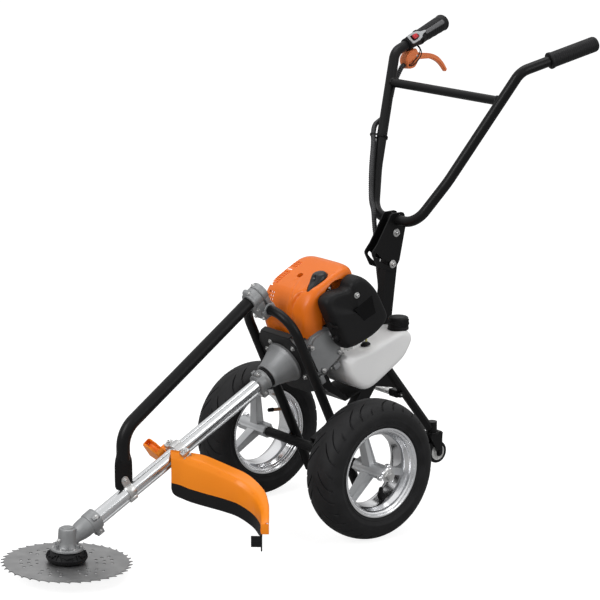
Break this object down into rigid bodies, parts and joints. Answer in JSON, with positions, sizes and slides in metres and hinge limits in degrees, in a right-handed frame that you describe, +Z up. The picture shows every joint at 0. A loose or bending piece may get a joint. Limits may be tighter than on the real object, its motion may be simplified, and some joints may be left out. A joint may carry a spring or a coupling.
{
  "type": "wheeled brush cutter",
  "caption": "Walk-behind wheeled brush cutter: engine, drive shaft, toothed blade under a guard, folding handlebar with throttle and small rear caster.",
  "frame": {"origin": "middle of the footprint box, on the floor", "axes": "+Z up, +Y towards the operator behind the handlebar, +X towards the operator's left when seen from behind facing the blade; the blade is at the -Y end"},
  "size_m": [0.5084, 1.2944, 0.9776],
  "materials": {
    "tyre": "black tread rubber with curved grooves",
    "rim": "bright cast three-spoke rim",
    "steel": "zinc-plated steel",
    "black_frame": "black powder coat",
    "cast": "as-cast grey alloy",
    "shaft": "drawn tube",
    "blade_steel": "ground blade steel",
    "orange": "moulded orange plastic",
    "black_plastic": "fine-grained moulded black plastic",
    "rubber": "matt moulded rubber",
    "tank_white": "translucent white blow-moulded plastic",
    "red": "red moulded plastic"
  },
  "bodies": {
    "machine": {"axle_rod": "steel", "axle_tube": "black_frame", "frame_hoop": "black_frame", "engine_plate": "black_frame", "clutch_housing": "cast", "damper_ring": "black_plastic", "shaft_collar": "cast", "shaft_tube": "shaft", "tie_rod": "shaft", "gear_head": "cast", "brace_pipe": "black_frame", "clamp_front_half": "cast", "clamp_rear_half": "cast", "brace_ring_clamp": "steel", "guard_shell": "orange", "guard_skirt": "black_plastic", "guard_bracket": "steel", "crankcase": "cast", "cylinder": "cast", "engine_shroud": "orange", "filter_cover": "black_plastic", "muffler": "black_frame", "spark_plug_boot": "rubber", "carburettor": "cast", "starter_housing": "black_plastic", "fuel_tank": "tank_white", "tank_grommet": "rubber", "handle_post": "black_frame", "rear_strut": "black_frame", "engine_cradle": "black_frame", "pivot_bolt": "steel", "lock_bolt": "steel", "throttle_loom": "black_plastic"},
    "wheel_left": {"tyre_left": "tyre", "rim_left": "rim"},
    "wheel_right": {"tyre_right": "tyre", "rim_right": "rim"},
    "blade_set": {"blade_spindle": "steel", "upper_collar": "black_plastic", "blade": "blade_steel", "support_cup": "steel", "blade_nut": "steel"},
    "drive": {"drive_shaft": "steel"},
    "handle": {"handlebar": "black_frame", "crossbar": "black_frame", "bracket_plate_left": "black_frame", "bracket_plate_right": "black_frame", "grip_left": "rubber", "grip_right": "rubber", "switch_plate": "cast", "trigger_body": "orange"},
    "throttle": {"throttle_lever": "orange"},
    "switch": {"kill_switch": "red"},
    "choke": {"choke_lever": "black_plastic"},
    "primer": {"primer_bulb": "rubber"},
    "starter": {"starter_grip": "black_plastic"},
    "cap": {"fuel_cap": "black_plastic"},
    "pin": {"latch_pin": "steel"},
    "caster_arm": {"caster_fork": "steel"},
    "caster": {"caster_wheel": "rubber"}
  },
  "joints": [
    {"name": "left_wheel_spin", "type": "hinge", "parent": "machine", "child": "wheel_left", "pos_m": [0.1854, 0.08587, 0.1435], "axis": [1, 0, 0], "continuous": true},
    {"name": "right_wheel_spin", "type": "hinge", "parent": "machine", "child": "wheel_right", "pos_m": [-0.1854, 0.08587, 0.1435], "axis": [1, 0, 0], "continuous": true},
    {"name": "blade_spin", "type": "hinge", "parent": "machine", "child": "blade_set", "pos_m": [0, -0.51993, 0.02727], "axis": [0, 0.0454, 0.999], "continuous": true},
    {"name": "drive_spin", "type": "hinge", "parent": "machine", "child": "drive", "pos_m": [0, -0.01413, 0.3249], "axis": [0, 0.8908, 0.4543], "continuous": true},
    {"name": "handle_fold", "type": "hinge", "parent": "machine", "child": "handle", "pos_m": [0, 0.29787, 0.572], "axis": [1, 0, 0], "range_deg": [0, 44], "deforming": ["throttle_loom"]},
    {"name": "throttle_squeeze", "type": "hinge", "parent": "handle", "child": "throttle", "pos_m": [-0.20784, 0.52913, 0.89865], "axis": [0.9766, 0.2074, 0.0575], "range_deg": [0, 20], "stiffness_Nm_per_rad": 0.5, "springref_deg": -17.19},
    {"name": "switch_slide", "type": "slide", "parent": "handle", "child": "switch", "axis": [-0.2152, 0.941, 0.261], "range_m": [0, 0.006]},
    {"name": "choke_turn", "type": "hinge", "parent": "machine", "child": "choke", "pos_m": [0.09, 0.05976, 0.42545], "axis": [0, 0.8908, 0.4543], "range_deg": [-70, 0]},
    {"name": "primer_press", "type": "slide", "parent": "machine", "child": "primer", "axis": [0, 0.8908, 0.4543], "range_m": [0, 0.004], "stiffness_N_per_m": 300, "springref_m": -0.001},
    {"name": "starter_pull", "type": "slide", "parent": "machine", "child": "starter", "axis": [-0.5, 0.7715, 0.3934], "range_m": [0, 0.6], "stiffness_N_per_m": 10, "springref_m": -0.8},
    {"name": "cap_turn", "type": "hinge", "parent": "machine", "child": "cap", "pos_m": [0.055, 0.26987, 0.3784], "axis": [0, 0, 1], "range_deg": [0, 540]},
    {"name": "pin_pull", "type": "slide", "parent": "machine", "child": "pin", "axis": [-1, 0, 0], "range_m": [0, 0.03], "stiffness_N_per_m": 200, "springref_m": -0.01},
    {"name": "caster_turn", "type": "hinge", "parent": "machine", "child": "caster_arm", "pos_m": [0, 0.41587, 0.118], "axis": [0, 0, 1], "continuous": true},
    {"name": "caster_spin", "type": "hinge", "parent": "caster_arm", "child": "caster", "pos_m": [0, 0.42787, 0.07], "axis": [1, 0, 0], "continuous": true}
  ],
  "couplings": [
    {"joint": "drive_spin", "follows": "blade_spin", "ratio": 1.357}
  ]
}
